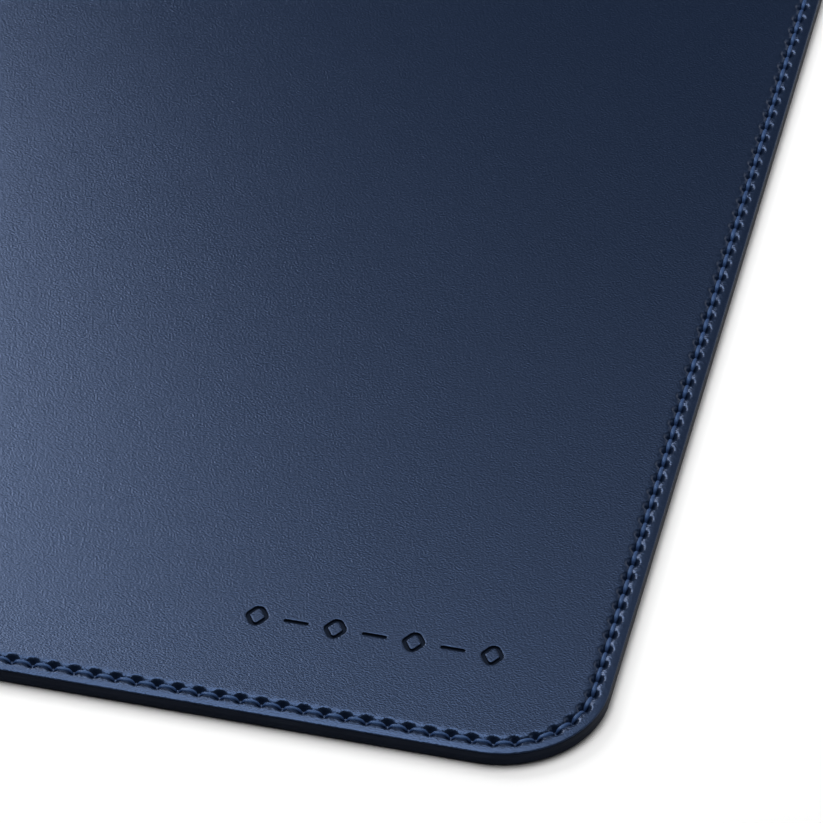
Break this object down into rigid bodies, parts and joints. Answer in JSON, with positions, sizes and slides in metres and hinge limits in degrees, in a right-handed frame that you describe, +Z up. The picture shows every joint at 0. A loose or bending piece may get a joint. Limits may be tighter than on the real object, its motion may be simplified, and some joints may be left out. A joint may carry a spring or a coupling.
{
  "type": "desk mat",
  "caption": "Thin rectangular stitched leather desk mat with rounded corners, a bonded core, a sealed edge and a lockstitch seam round its border.",
  "frame": {"origin": "centre of the underside, on the surface that the mat rests on", "axes": "+X along the long side, +Y towards the back long side, +Z up out of the working surface; the pressed ornament is in the corner at +X, -Y"},
  "size_m": [0.585, 0.31, 0.0031],
  "materials": {
    "face_leather": "fine-grained navy synthetic leather, satin",
    "backing": "navy microfibre suede, matt",
    "core": "grey bonded fibre board, matt",
    "edge_coat": "dark navy flexible edge paint, satin",
    "thread": "blue bonded polyester thread, slight sheen"
  },
  "bodies": {
    "root": {"backing_sheet": "backing", "core_sheet": "core", "face_leather": "face_leather", "edge_coat": "edge_coat", "needle_thread": "thread", "bobbin_thread": "thread"}
  },
  "joints": []
}
